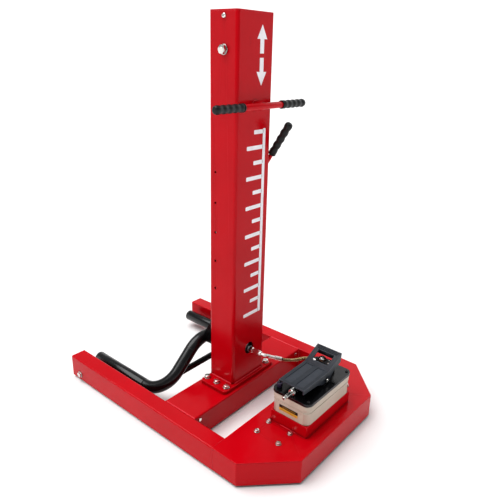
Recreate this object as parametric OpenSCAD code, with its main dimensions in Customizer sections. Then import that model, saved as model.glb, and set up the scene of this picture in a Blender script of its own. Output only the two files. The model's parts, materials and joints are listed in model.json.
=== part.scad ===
// Mobile single-column wheel lift: a floor frame on rollers and casters, an open-backed
// column, a hydraulic ram that raises a bent-tube fork, and a foot-operated air-hydraulic
// pump on the front deck. Millimetres. Origin on the floor at the middle of the frame,
// +Z up, +Y towards the fork tips, the front deck towards -Y.

/* [Base frame] */
// Overall width of the frame
base_w = 692; // [660:2:740]
// Overall length of the frame
base_l = 986; // [970:2:1040]
// Height of the frame's top surface above the floor
base_top = 91; // [90:1:96]
// Gap between the frame's lower edge and the floor
ground_gap = 8; // [6:1:10]
// Width of each leg
leg_w = 58; // [56:1:62]
// Thickness of the folded frame sheets
sheet = 4; // [3:0.5:4.5]
// Depth of the crossbar under the column, front to back
crossbar_d = 144; // [140:1:150]
// Depth of the front deck
deck_d = 233; // [225:1:240]
// Size of the deck's corner chamfers
deck_chamfer = 137; // [120:1:140]

/* [Column] */
// Width of the column
column_w = 164; // [162:1:168]
// Depth of the column
column_d = 112; // [112:1:116]
// Height of the column's top above the floor
column_top = 1320; // [1320:5:1380]
// Wall thickness of the column
column_wall = 5; // [4:0.5:5]
// Pitch of the lock-pin holes
pin_pitch = 100; // [90:5:100]
// Number of lock-pin holes in each side wall
pin_count = 5; // [3:1:5]

/* [Lift] */
// Travel of the fork
lift_travel = 480; // [300:10:480]
// Outside diameter of the fork tube
fork_d = 45; // [42:0.5:46]
// Distance between the fork prongs, centre to centre
prong_pitch = 486; // [470:2:500]
// Height of the prong axis above the floor, fully lowered
prong_z = 50; // [46:1:56]
// Slope of the fork's rising part, in degrees
fork_slope = 42.5; // [40:0.5:45]

/* [Wheels] */
// Diameter of the rollers inside the legs
roller_d = 60; // [56:1:60]
// Diameter of the caster wheels
caster_d = 52; // [48:1:54]
// Trail of the caster wheels behind their swivel axis
caster_trail = 22; // [18:1:24]

/* [Pump] */
// Length of the pump's oil reservoir
pump_l = 248; // [242:1:250]
// Width of the pump's oil reservoir
pump_w = 138; // [132:1:140]
// Height of the box that the pump stands on
riser_h = 41; // [38:1:44]

/* [Hidden] */
$fn = 64;

// Fits between the pieces
gap = 0.5;          // free space between sliding faces
run_fit = 0.05;     // radial clearance of a shaft that turns in a hole
hole_fit = 0.2;     // radial clearance of a fixed bolt in its hole
eps = 1;            // overlap that makes cuts run past a face

// Frame layout
half_w = base_w / 2;
half_l = base_l / 2;
leg_in = half_w - leg_w;
leg_mid = half_w - leg_w / 2;
deck_back = -half_l + deck_d;
crossbar_front = -127;
crossbar_back = crossbar_front + crossbar_d;
frame_round = 5;

// Column layout: the base plate stands on the crossbar and the column on the plate
plate_t = 12;
plate_z = base_top + plate_t;
column_half = column_w / 2;
column_front = -104;
column_back = column_front + column_d;
column_mid_y = -52;
column_in = column_half - column_wall;
mouth_half = 45;    // half width of the column's open back
cap_t = 4;
pin_y = -18;
pin_z0 = 850;
cap_screw_z = column_top - 17;
stop_z = column_top - 107;
port_x = 8;
port_z = 208;
port_hole = [3, 215];
port_hole_r = 22;

// Ram and carriage layout
ram_y = -64;
ram_r = 30;
ram_bore_r = 25;
rod_r = 16;
ram_foot_t = 10;
barrel_z = plate_z + ram_foot_t;
barrel_top = 668;
gland_top = 690;
carriage_bottom = 108;
head_z = 692;
head_t = 12;
web_back = -8;
web_t = 10;
web_front = web_back - web_t;
side_x = 44;
side_t = 8;
side_front = -88;
web_half = 72;

// Fork layout
fork_r = fork_d / 2;
fork_wall = 4;
prong_x = prong_pitch / 2;
arch_y = 85;
arch_z = 204;
bend_r = 100;
prong_tip_y = 458;
brace_z = 105;
brace_r = 11;
ear_x = 32;
ear_t = 10;
slope_run = (arch_z - bend_r * (1 - cos(fork_slope)) - prong_z) / sin(fork_slope);
slope_end_x = -prong_x + slope_run * cos(fork_slope);
arch_bend_x = slope_end_x + bend_r * sin(fork_slope);

// Lock layout: angles are measured from straight up towards the front
lock_y = -48;
lock_z = 820;
lock_angle = 33;
lock_release = 18;
lever_x = 100;
lever_hub_half = 8;
lever_grip_from = 92;
lever_end = 216;
pawl_reach_y = -31;
pawl_reach_z = 45;
rack_x = side_x + side_t;
rack_t = 10;
rack_back = -66;

// Roller and caster layout
roller_r = roller_d / 2;
roller_y = 443;
roller_w = 40;
caster_x = 170;
caster_y = -356;
caster_r = caster_d / 2;
caster_hole_x = 30;
caster_hole_y = 42.5;
caster_plate_z = base_top - sheet - 4;

// Push handle
handle_y = -136;
handle_z = 1057;
handle_half = 209;
handle_grip = 120;
handle_r = 10;
grip_r = 11.3;
grip_wave = 1.8;

// Pump layout
pump_y = -380;
riser_z = base_top + riser_h;
lid_z = riser_z + 71;
lid_t = 9;
lid_top = lid_z + lid_t;
head_top = lid_top + 24;
treadle_w = 95;
treadle_half = treadle_w / 2;
pivot_x = 5;
pivot_z = lid_top + 16;
near_x = -123;
far_x = 92;
tread_z = lid_top + 41;
bend_x = 18;
far_z = lid_top + 74;
skin = 4;
stem_x = 15;
stem_gap = 0.4;
inlet_z = lid_top + 11;
valve_low = 26;
valve_high = 38;
outlet_x = 84;
outlet_z = lid_top + 8;

// Steel pipe from the ram's port to the hose: a bend, a straight part and a crimped ferrule
pipe_start_y = -156;
pipe_turn = 42;
pipe_dip = 20;
pipe_bend_r = 24;
pipe_straight = 34;
ferrule_l = 24;
pipe_far = pipe_bend_r * (1 - cos(pipe_turn)) + (pipe_straight + ferrule_l) * sin(pipe_turn);
pipe_out = pipe_bend_r * sin(pipe_turn) + (pipe_straight + ferrule_l) * cos(pipe_turn);
hose_start = [port_x + pipe_far * cos(pipe_dip), pipe_start_y - pipe_out, port_z - pipe_far * sin(pipe_dip)];
hose_start_way = [sin(pipe_turn) * cos(pipe_dip), -cos(pipe_turn), -sin(pipe_turn) * sin(pipe_dip)];

// Free hose from the ferrule to the pump's outlet
hose_d = 10;
hose_sides = 12;
hose_route = [
    hose_start, [55, -220.9, 191.1], [59.6, -226.7, 190.2], [64.1, -232.7, 189.8], [68.2, -239, 190.2],
    [72, -245.4, 191.3], [75.3, -251.9, 193.1], [77.9, -258.4, 195.7], [80.1, -264.9, 198.8],
    [81.7, -271.4, 202.2], [82.8, -277.9, 205.7], [83.5, -284.5, 209.3], [83.9, -291.1, 212.6],
    [84, -298, 215.6], [84, -305.2, 218], [84, -312.5, 219.5], [outlet_x, pump_y + 60, outlet_z]];

red = [0.78, 0.02, 0.05];
black = [0.05, 0.05, 0.06];
zinc = [0.78, 0.78, 0.76];
steel = [0.55, 0.56, 0.58];
cream = [0.83, 0.79, 0.72];

// ---- Shared shapes ----

// Rectangle with its lower left corner at the origin and exact round corners
module round_rect(w, h, r) {
    translate([r, 0]) square([w - 2 * r, h]);
    translate([0, r]) square([w, h - 2 * r]);
    for (x = [r, w - r], y = [r, h - r]) translate([x, y]) circle(r);
}

// Box centred in X and Y with round upright edges
module round_box(w, d, h, r) {
    translate([-w / 2, -d / 2, 0]) linear_extrude(h) round_rect(w, d, r);
}

// Folded channel profile, open below, with round upper corners
module channel_profile(w, h, t) {
    difference() {
        union() {
            translate([0, 0]) square([w, h - frame_round]);
            translate([frame_round, 0]) square([w - 2 * frame_round, h]);
            for (x = [frame_round, w - frame_round]) translate([x, h - frame_round]) circle(frame_round);
        }
        translate([t, -eps]) square([w - 2 * t, h - t + eps]);
    }
}

// Hexagonal prism, given its size across the flats
module hexagon(across, h) {
    cylinder(h = h, r = across / sqrt(3), $fn = 6);
}

// Bolt that points down, its head standing on the origin plane
module hex_bolt(d, across, head_h, length) {
    hexagon(across, head_h);
    translate([0, 0, -length]) cylinder(h = length + eps, d = d);
}

// Washer that stands on the origin plane
module washer(outer, inner, h) {
    difference() {
        cylinder(h = h, d = outer);
        translate([0, 0, -eps]) cylinder(h = h + 2 * eps, d = inner);
    }
}

// Solid that runs along +X
module along_x() {
    rotate([0, 90, 0]) children();
}

// Solid that runs along +Y
module along_y() {
    rotate([-90, 0, 0]) children();
}

// Both sides of a shape, mirrored across the middle plane
module both_sides() {
    children();
    mirror([1, 0, 0]) children();
}

// Part of a bent tube's bend, in the XY plane, from one angle to another
module bend(radius, r, from, to) {
    rotate([0, 0, from]) rotate_extrude(angle = to - from) translate([radius, 0]) circle(r);
}

// Ribbed handle grip along +Z, closed at the far end; the bar runs into it from the origin
module grip(body_r, bore_r, length) {
    ribs = 5;
    wave = length / ribs;
    steps = 6;
    outline = [for (i = [0:ribs * steps])
        [body_r + grip_wave / 2 * (1 - cos(360 * i / steps)), i * wave / steps]];
    difference() {
        rotate_extrude() polygon(concat([[0, 0]], outline, [[0, length]]));
        translate([0, 0, -eps]) cylinder(h = length - 6 + eps, r = bore_r);
    }
}

// ---- Base frame ----

// One leg: an inverted channel with a closed rear end, on the -X side
module leg() {
    color(red) difference() {
        union() {
            translate([-half_w, half_l, ground_gap]) rotate([90, 0, 0])
                linear_extrude(half_l - deck_back) channel_profile(leg_w, base_top - ground_gap, sheet);
            translate([-half_w + sheet / 2, half_l - sheet, ground_gap])
                cube([leg_w - sheet, sheet, base_top - ground_gap - sheet / 2]);
        }
        translate([-half_w - eps, roller_y, roller_r]) along_x()
            cylinder(h = leg_w + 2 * eps, r = 6 + hole_fit);
    }
}

module left_leg() {
    leg();
}

module right_leg() {
    mirror([1, 0, 0]) leg();
}

module crossbar() {
    color(red) difference() {
        translate([-leg_in, crossbar_front, ground_gap]) rotate([90, 0, 90])
            linear_extrude(2 * leg_in) channel_profile(crossbar_d, base_top - ground_gap, sheet);
        bolt_places() translate([0, 0, base_top - sheet - eps])
            cylinder(h = sheet + 2 * eps, r = 6 + hole_fit);
    }
}

// Outline of the front deck, drawn in by the given distance
function deck_outline(inset) =
    let (w = half_w - inset,
         f = half_l - inset,
         c = half_w + half_l - deck_chamfer - inset * sqrt(2),
         back = deck_back - inset)
    [[-w, back], [-w, w - c], [f - c, -f], [c - f, -f], [w, w - c], [w, back]];

module deck_plate() {
    color(red) difference() {
        translate([0, 0, base_top - sheet]) linear_extrude(sheet) polygon(deck_outline(0));
        both_sides() translate([-caster_x, caster_y, base_top - sheet - eps]) caster_bolt_places()
            cylinder(h = sheet + 2 * eps, r = 4 + hole_fit);
    }
}

module deck_skirt() {
    color(red) translate([0, 0, ground_gap]) linear_extrude(base_top - sheet - ground_gap)
        difference() {
            polygon(deck_outline(0));
            polygon(deck_outline(sheet));
        }
}

// Small screws in the crossbar's front face, near the legs
module frame_screws() {
    color(zinc) for (s = [-1, 1])
        translate([s * (leg_in - 22), crossbar_front, base_top - 15]) rotate([90, 0, 0])
            cylinder(h = 3, d = 11);
}

// ---- Column ----

module column_base_plate() {
    color(red) difference() {
        translate([0, column_mid_y - 3, base_top]) round_box(268, 119, plate_t, 12);
        bolt_places() translate([0, 0, base_top - eps]) cylinder(h = plate_t + 2 * eps, r = 6 + hole_fit);
    }
}

// Places of the six base plate bolts
module bolt_places() {
    for (x = [-109, 109], y = [-46, 0, 46]) translate([x, column_mid_y + y, 0]) children();
}

// Bolts through the plate and the crossbar's top sheet, with washers and nuts
module base_plate_bolts() {
    color(zinc) bolt_places() {
        translate([0, 0, plate_z]) washer(24, 12, 2.5);
        translate([0, 0, plate_z + 2.5]) hexagon(18, 7.5);
        translate([0, 0, plate_z + 10]) cylinder(h = 0.8, r = 8);
        translate([0, 0, base_top - sheet - 14]) cylinder(h = plate_z - base_top + sheet + 17, d = 12);
        translate([0, 0, base_top - sheet - 10]) hexagon(18, 10);
    }
}

module column() {
    color(red) difference() {
        translate([0, 0, plate_z]) linear_extrude(column_top - cap_t - plate_z) difference() {
            translate([-column_half, column_front]) round_rect(column_w, column_d, 9);
            translate([-column_in, column_front + column_wall])
                round_rect(2 * column_in, column_d - 2 * column_wall, 4);
            translate([-mouth_half, column_back - column_wall - eps])
                square([2 * mouth_half, column_wall + 2 * eps]);
        }
        for (i = [0:pin_count - 1]) side_hole(pin_y, pin_z0 - i * pin_pitch, 4.5);
        side_hole(column_mid_y, cap_screw_z, 4 + hole_fit);
        side_hole(column_mid_y, stop_z, 8 + hole_fit);
        translate([0, lock_y, lock_z]) along_x() cylinder(h = column_w, r = 12);
        translate([port_hole[0], column_front - eps, port_hole[1]]) along_y()
            cylinder(h = column_wall + 2 * eps, r = port_hole_r);
    }
}

// Hole through both side walls of the column
module side_hole(y, z, r) {
    translate([-column_half - eps, y, z]) along_x() cylinder(h = column_w + 2 * eps, r = r);
}

module column_cap() {
    color(red) difference() {
        union() {
            translate([-column_half, column_front, column_top - cap_t])
                linear_extrude(cap_t) round_rect(column_w, column_d, 9);
            both_sides() translate([-column_in, column_mid_y - 20, cap_screw_z - 15])
                cube([4, 40, column_top - cap_t - cap_screw_z + 15 + cap_t / 2]);
        }
        side_hole(column_mid_y, cap_screw_z, 4 + hole_fit);
    }
}

module cap_screws() {
    color(zinc) both_sides() translate([-column_half, column_mid_y, cap_screw_z]) rotate([0, -90, 0]) {
        translate([0, 0, -14]) cylinder(h = 15, d = 8);
        difference() {
            intersection() {
                cylinder(h = 5, d = 15);
                translate([0, 0, -7]) sphere(12);
            }
            translate([0, 0, 3]) hexagon(5, 4);
        }
    }
}

// Bolt across the column that the lift's upper stop turns on
module stop_bolt() {
    color(zinc) translate([-column_half, column_mid_y, stop_z]) rotate([0, -90, 0]) {
        translate([0, 0, -column_w - 20]) cylinder(h = column_w + 24, d = 16);
        washer(30, 16, 3);
        translate([0, 0, 3]) difference() {
            hexagon(24, 10);
            translate([0, 0, 9]) washer(34, 22, 2);
        }
    }
}

module stop_bolt_nut() {
    color(zinc) translate([column_half, column_mid_y, stop_z]) along_x() difference() {
        union() {
            cylinder(h = 3, d = 30);
            translate([0, 0, 3]) hexagon(24, 13);
        }
        translate([0, 0, -eps]) cylinder(h = 20, d = 16.1);
    }
}

module stop_sleeve() {
    color(steel) translate([-column_in + gap, column_mid_y, stop_z]) along_x() difference() {
        cylinder(h = 2 * (column_in - gap), d = 26);
        translate([0, 0, -eps]) cylinder(h = column_w, r = 8 + hole_fit);
    }
}

module push_handle() {
    color(red) {
        translate([-handle_half + 7, handle_y, handle_z]) along_x()
            cylinder(h = 2 * (handle_half - 7), r = handle_r);
        translate([0, handle_y, handle_z]) along_y()
            cylinder(h = column_front - handle_y, r = 13);
    }
}

module push_handle_grips() {
    color(black) both_sides() translate([handle_half - handle_grip, handle_y, handle_z]) along_x()
        grip(grip_r, handle_r + run_fit, handle_grip);
}

// ---- Hydraulic ram ----

module ram_foot() {
    color(steel) translate([-38, -97, plate_z]) cube([76, 66, ram_foot_t]);
}

module ram_barrel() {
    color(steel) difference() {
        union() {
            translate([0, ram_y, barrel_z]) cylinder(h = barrel_top - barrel_z, r = ram_r);
            translate([port_x, column_front - 1, port_z]) along_y() cylinder(h = 22, r = 12);
        }
        translate([0, ram_y, barrel_z + 14]) cylinder(h = barrel_top, r = ram_bore_r);
        translate([port_x, column_front - 2, port_z]) along_y() cylinder(h = 34, r = 5);
    }
}

module ram_gland() {
    color(steel) translate([0, ram_y, 0]) difference() {
        union() {
            translate([0, 0, barrel_top]) cylinder(h = gland_top - barrel_top, r = ram_r);
            translate([0, 0, barrel_top - 18]) cylinder(h = 19, r = ram_bore_r);
        }
        translate([0, 0, barrel_top - 19]) cylinder(h = 60, r = rod_r + run_fit);
        translate([0, 0, barrel_top + 8]) cylinder(h = 6, r = 20);
    }
}

module rod_seal() {
    color(black) translate([0, ram_y, barrel_top + 8])
        washer(40, 2 * (rod_r + run_fit), 6);
}

module ram_rod() {
    color(zinc) translate([0, ram_y, 0]) difference() {
        translate([0, 0, 150]) cylinder(h = head_z - 150, r = rod_r);
        translate([0, 0, head_z - 30]) cylinder(h = 31, r = 6);
        translate([0, 0, 152]) difference() {
            cylinder(h = 16, r = rod_r + eps);
            cylinder(h = 16, r = rod_r - 4);
        }
    }
}

// Guide ring at the rod's foot; oil passes it through four notches
module ram_guide_ring() {
    color([0.75, 0.6, 0.3]) translate([0, ram_y, 152]) difference() {
        cylinder(h = 16, r = ram_bore_r - run_fit);
        translate([0, 0, -eps]) cylinder(h = 16 + 2 * eps, r = rod_r - 4);
        for (a = [45:90:315]) rotate([0, 0, a]) translate([ram_bore_r, 0, -eps]) cylinder(h = 18, r = 3);
    }
}

// Bolt that holds the carriage head to the rod
module rod_bolt() {
    color(zinc) translate([0, ram_y, head_z + head_t]) hex_bolt(12, 19, 8, head_t + 28);
}

// ---- Carriage ----

module carriage_web() {
    color(steel) translate([-web_half, web_front, carriage_bottom])
        cube([2 * web_half, web_t, head_z - carriage_bottom]);
}

module carriage_sides() {
    color(steel) both_sides() translate([side_x, side_front, carriage_bottom])
        cube([side_t, web_front - side_front, head_z - carriage_bottom]);
}

module carriage_head() {
    color(steel) difference() {
        translate([-side_x - side_t, side_front, head_z])
            cube([2 * (side_x + side_t), web_back - side_front, head_t]);
        translate([0, ram_y, head_z - eps]) cylinder(h = head_t + 2 * eps, r = 6 + hole_fit);
    }
}

// Wear pads: behind the web, beside it, and in front of the side plates
module slide_pads() {
    pad_h = 70;
    color("ivory") for (z = [118, 612]) translate([0, 0, z]) both_sides() {
        translate([50, web_back, 0]) cube([22, column_back - column_wall - gap - web_back, pad_h]);
        translate([web_half, web_front, 0]) cube([column_in - gap - web_half, web_t, pad_h]);
        translate([side_x - 4, column_front + column_wall + gap, 0])
            cube([side_t + 4, side_front - column_front - column_wall - gap, pad_h]);
    }
}

// Toothed bar on the right side plate; each notch has a flat roof and a ramped floor
module lock_rack() {
    top = head_z + head_t;
    bottom = 340;
    first_roof = lock_z + pawl_reach_z + gap - lift_travel;
    color(steel) difference() {
        translate([rack_x, side_front, bottom]) cube([rack_t, rack_back - side_front, top - bottom]);
        for (roof = [first_roof:100:top - 10]) translate([rack_x - eps, 0, roof])
            rotate([90, 0, 90]) linear_extrude(rack_t + 2 * eps)
                polygon([[rack_back + eps, 0], [rack_back - 14, 0], [rack_back - 14, -14],
                    [rack_back + eps, -36]]);
    }
}

// ---- Fork ----

// Whole path of the fork tube, filled, with the given radius
module fork_path(r) {
    both_sides() {
        translate([-prong_x, arch_y + bend_r, prong_z]) along_y()
            cylinder(h = prong_tip_y - arch_y - bend_r, r = r);
        translate([-prong_x, 0, prong_z]) rotate([0, -fork_slope, 0]) {
            translate([bend_r, arch_y + bend_r, 0]) bend(bend_r, r, 180, 270);
            translate([bend_r, arch_y, 0]) along_x() cylinder(h = slope_run - bend_r, r = r);
        }
        translate([arch_bend_x, arch_y, arch_z - bend_r]) rotate([90, 0, 0])
            bend(bend_r, r, 90, 90 + fork_slope);
    }
    translate([arch_bend_x, arch_y, arch_z]) along_x() cylinder(h = -2 * arch_bend_x, r = r);
}

module fork_tube() {
    color(black) difference() {
        fork_path(fork_r);
        fork_path(fork_r - fork_wall);
    }
}

// Round-edged plugs in the prong tips
module fork_tip_caps() {
    round_r = 8;
    color(black) both_sides() translate([-prong_x, prong_tip_y, prong_z]) along_y() {
        translate([0, 0, -18]) cylinder(h = 18.5, r = fork_r - fork_wall);
        rotate_extrude() {
            square([fork_r, 2]);
            square([fork_r - round_r, 2 + round_r]);
            intersection() {
                translate([fork_r - round_r, 2]) circle(round_r);
                translate([0, 1]) square([fork_r, 2 + round_r]);
            }
        }
    }
}

// Cross brace between the two rising parts, notched to the tube
module fork_brace() {
    color(black) difference() {
        reach = prong_x - (brace_z - prong_z) / tan(fork_slope);
        translate([-reach, arch_y, brace_z]) along_x() cylinder(h = 2 * reach, r = brace_r);
        fork_path(fork_r);
    }
}

// Two plates that carry the fork from the carriage through the column's open back
module fork_ears() {
    color(black) difference() {
        both_sides() translate([ear_x, 0, 0]) rotate([90, 0, 90]) linear_extrude(ear_t)
            polygon([[web_back, 192], [arch_y - 8, 192], [arch_y - 8, 226], [16, 330], [web_back, 330]]);
        fork_path(fork_r);
    }
}

// ---- Lock ----

module lock_bush() {
    color(zinc) translate([column_in - 3, lock_y, lock_z]) along_x() difference() {
        union() {
            cylinder(h = 3, r = 15);
            cylinder(h = 12, r = 12);
        }
        translate([0, 0, -eps]) cylinder(h = 20, r = 8 + run_fit);
    }
}

module lock_shaft() {
    color(zinc) translate([rack_x + 2, lock_y, lock_z]) along_x() {
        cylinder(h = lever_x + lever_hub_half - rack_x - 2, r = 8);
        translate([0, 0, lever_x + lever_hub_half - rack_x - 2]) hexagon(19, 7);
    }
}

// Pawl, drawn engaged and turned back to its released place
module lock_pawl() {
    color(steel) translate([rack_x + 2, lock_y, lock_z]) rotate([-lock_release, 0, 0]) difference() {
        union() {
            along_x() cylinder(h = rack_t - 2, r = 13);
            rotate([90, 0, 90]) linear_extrude(rack_t - 2)
                polygon([[8, 8], [pawl_reach_y + 14, pawl_reach_z], [pawl_reach_y, pawl_reach_z],
                    [pawl_reach_y, pawl_reach_z - 3], [pawl_reach_y + 5, pawl_reach_z - 11], [-12, 0]]);
        }
        translate([-eps, 0, 0]) along_x() cylinder(h = rack_t, r = 8);
    }
}

module lock_lever() {
    color(red) translate([lever_x, lock_y, lock_z]) difference() {
        union() {
            translate([-lever_hub_half, 0, 0]) along_x() cylinder(h = 2 * lever_hub_half, r = 15);
            rotate([lock_angle, 0, 0]) cylinder(h = lever_end - 7, r = 7);
        }
        translate([-lever_hub_half - eps, 0, 0]) along_x()
            cylinder(h = 2 * (lever_hub_half + eps), r = 8);
    }
}

module lock_lever_grip() {
    color(black) translate([lever_x, lock_y, lock_z]) rotate([lock_angle, 0, 0])
        translate([0, 0, lever_grip_from]) grip(grip_r, 7 + run_fit, lever_end - lever_grip_from);
}

// ---- Rollers and casters ----

module roller_axles() {
    color(zinc) both_sides() translate([-half_w, roller_y, roller_r]) rotate([0, -90, 0]) {
        translate([0, 0, -leg_w - 14]) cylinder(h = leg_w + 16, d = 12);
        washer(24, 12, 2.5);
        translate([0, 0, 2.5]) hexagon(18, 6);
        translate([0, 0, -leg_w - 2.5]) washer(24, 12, 2.5);
        translate([0, 0, -leg_w - 12.5]) hexagon(18, 10);
    }
}

// Roller that turns on an axle along X, centred on the origin
module roller(r, w, bore_r, edge) {
    rotate([0, 90, 0]) translate([0, 0, -w / 2]) difference() {
        union() {
            translate([0, 0, edge]) cylinder(h = w - 2 * edge, r = r);
            cylinder(h = edge, r1 = r - edge, r2 = r);
            translate([0, 0, w - edge]) cylinder(h = edge, r1 = r, r2 = r - edge);
        }
        translate([0, 0, -eps]) cylinder(h = w + 2 * eps, r = bore_r);
    }
}

module left_roller() {
    color("dimgray") translate([-leg_mid, roller_y, roller_r]) roller(roller_r, roller_w, 6 + run_fit, 2);
}

module right_roller() {
    color("dimgray") translate([leg_mid, roller_y, roller_r]) roller(roller_r, roller_w, 6 + run_fit, 2);
}

// Top plates with raceway, king pin and pin head
module caster_plates() {
    color(zinc) both_sides() translate([-caster_x, caster_y, 0]) difference() {
        union() {
            translate([0, 0, caster_plate_z]) round_box(86, 110, 4, 8);
            translate([0, 0, caster_plate_z - 3]) cylinder(h = 3, r = 25);
            translate([0, 0, caster_plate_z - 13]) cylinder(h = 13, r = 6);
            translate([0, 0, caster_plate_z - 13]) cylinder(h = 3.5, r = 11);
        }
        caster_bolt_places() translate([0, 0, caster_plate_z - eps]) cylinder(h = 6, r = 4 + hole_fit);
    }
}

module caster_bolt_places() {
    for (x = [-caster_hole_x, caster_hole_x], y = [-caster_hole_y, caster_hole_y])
        translate([x, y, 0]) children();
}

module caster_bolts() {
    color(zinc) both_sides() translate([-caster_x, caster_y, 0]) caster_bolt_places() {
        translate([0, 0, base_top]) cylinder(h = 1.6, r = 9);
        translate([0, 0, base_top + 1.6]) hexagon(13, 5.5);
        translate([0, 0, caster_plate_z - 1]) cylinder(h = base_top - caster_plate_z + 2, r = 4);
        translate([0, 0, caster_plate_z - 7]) hexagon(13, 7);
    }
}

// Swivel disc with two side plates and the wheel's axle
module caster_yoke() {
    disc_top = caster_plate_z - 3 - gap;
    color(zinc) translate([-caster_x, caster_y, 0]) {
        difference() {
            translate([0, 0, disc_top - 4.5]) cylinder(h = 4.5, r = 26);
            translate([0, 0, disc_top - 6]) cylinder(h = 8, r = 6 + run_fit);
        }
        both_sides() translate([-16, 0, 0]) rotate([90, 0, 90]) linear_extrude(3) {
            polygon([[-14, disc_top - 2], [18, disc_top - 2], [caster_trail + 9, caster_r], [caster_trail - 9, caster_r]]);
            translate([caster_trail, caster_r]) circle(9);
        }
        translate([-16, caster_trail, caster_r]) along_x() cylinder(h = 32, r = 4);
        both_sides() translate([-22, caster_trail, caster_r]) along_x() hexagon(13, 6);
    }
}

module left_caster_yoke() {
    caster_yoke();
}

module right_caster_yoke() {
    mirror([1, 0, 0]) caster_yoke();
}

module left_caster_wheel() {
    color("dimgray") translate([-caster_x, caster_y + caster_trail, caster_r])
        roller(caster_r, 22, 4 + run_fit, 3);
}

module right_caster_wheel() {
    color("dimgray") translate([caster_x, caster_y + caster_trail, caster_r])
        roller(caster_r, 22, 4 + run_fit, 3);
}

// ---- Pump ----

// Open-bottomed box that raises the pump above the deck
module pump_riser() {
    color(red) translate([0, pump_y, base_top]) difference() {
        round_box(pump_l + 6, pump_w + 2, riser_h, 3);
        translate([0, 0, -3]) round_box(pump_l, pump_w - 4, riser_h, 1);
    }
}

module pump_reservoir() {
    color(cream) translate([0, pump_y, riser_z]) difference() {
        union() {
            round_box(pump_l, pump_w, lid_z - riser_z, 18);
            translate([0, 0, 40]) round_box(pump_l + 2, pump_w + 2, 4, 19);
            translate([0, 0, 52]) round_box(pump_l + 4, pump_w + 4, lid_z - riser_z - 52, 20);
        }
        translate([0, 0, 5]) round_box(pump_l - 12, pump_w - 12, 100, 12);
    }
}

module pump_lid() {
    color(black) translate([0, pump_y, lid_z]) {
        round_box(pump_l + 8, pump_w + 8, lid_t, 22);
        translate([0, 0, -6]) round_box(pump_l - 12.6, pump_w - 12.6, 7, 11.7);
    }
}

// Cap-head screws around the lid
module pump_screws() {
    color("dimgray") translate([0, pump_y, lid_top]) for (x = [-112, 28, 112], y = [-60, 60]) {
        if (x > -100 || y < 0) translate([x, y, 0]) difference() {
            cylinder(h = 3.5, d = 9);
            translate([0, 0, 2]) hexagon(4, 3);
        }
    }
}

// Black valve body and air motor on the lid
module pump_head() {
    color(black) translate([0, pump_y, lid_top]) difference() {
        union() {
            translate([-72, -30, 0]) cube([97, 60, 24]);
            translate([-96, 0, inlet_z - lid_top]) along_x() cylinder(h = 30, r = 10.5);
            translate([-96, -10.5, 0]) cube([26, 21, inlet_z - lid_top]);
        }
        translate([pivot_x, -40, pivot_z - lid_top]) along_y() cylinder(h = 80, r = 4);
        translate([stem_x, 0, 8]) cylinder(h = 20, r = 4 + run_fit);
        translate([-97, 0, inlet_z - lid_top]) along_x() cylinder(h = 14, r = 6 + run_fit);
    }
}

// Bright valve block under the raised end of the treadle, with two hexagon plugs
module valve_block() {
    color(zinc) translate([0, pump_y, lid_top]) {
        translate([25, -27, 0]) cube([65, 54, 20]);
        translate([25, -27, 0]) cube([57, 54, valve_low]);
        translate([54, -27, 0]) cube([28, 54, valve_high]);
        for (p = [[39, -12, 19, valve_low], [67, 10, 22, valve_high]]) translate([p[0], p[1], p[3]]) {
            hexagon(p[2], 7);
            translate([0, 0, 7]) cylinder(h = 3, d = p[2] - 6);
        }
    }
}

// Side outline of the treadle in X and Z: level tread, raised far end, deep sides at the pivot
treadle_side = [[near_x, tread_z], [bend_x, tread_z], [far_x, far_z], [far_x - 3, far_z - 30],
    [50, tread_z - 11], [24, pivot_z - 9], [-16, pivot_z - 9], [-46, tread_z - 21], [near_x, tread_z - 15]];
rise = (far_z - tread_z) / (far_x - bend_x);

module treadle() {
    color([0.13, 0.14, 0.17]) translate([0, pump_y, 0]) difference() {
        translate([0, treadle_half, 0]) rotate([90, 0, 0]) linear_extrude(treadle_w) polygon(treadle_side);
        // hollow below the skin
        translate([0, treadle_half - skin, 0]) rotate([90, 0, 0]) linear_extrude(treadle_w - 2 * skin)
            polygon([[near_x - eps, tread_z - skin], [bend_x + 1, tread_z - skin],
                [far_x - 6, far_z - skin - 6 * rise - 1], [far_x - 6, 0], [near_x - eps, 0]]);
        // long recessed panels either side of the middle rib
        for (s = [-1, 1]) translate([near_x + 12, s * 22 - 13, tread_z - 1.5]) cube([bend_x - near_x - 18, 26, 9]);
        // window over the valves
        translate([bend_x + 16, -30, 0]) cube([40, 60, 400]);
        // cross grooves on the raised end
        for (i = [0:2]) translate([far_x - 15 + 4.5 * i, -38, far_z - (15 - 4.5 * i) * rise - 1])
            cube([2.5, 76, 9]);
        // bore of the pivot
        translate([pivot_x, -treadle_half - eps, pivot_z]) along_y() cylinder(h = treadle_w + 2 * eps, r = 4 + run_fit);
    }
}

module treadle_pin() {
    color(zinc) translate([pivot_x, pump_y - treadle_half - 4, pivot_z]) along_y() {
        cylinder(h = treadle_w + 8, r = 4);
        translate([0, 0, -2]) cylinder(h = 3, r = 6);
        translate([0, 0, treadle_w + 7]) cylinder(h = 3, r = 6);
    }
}

// Air valve's stem, pressed by the underside of the treadle
module valve_stem() {
    foot = lid_top + 12;
    color(zinc) translate([stem_x, pump_y, 0]) {
        translate([0, 0, foot]) cylinder(h = tread_z - skin - stem_gap - 1.6 - foot, r = 4);
        translate([0, 0, foot + 1]) cylinder(h = tread_z - skin - stem_gap - foot - 1, r = 3);
    }
}

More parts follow.
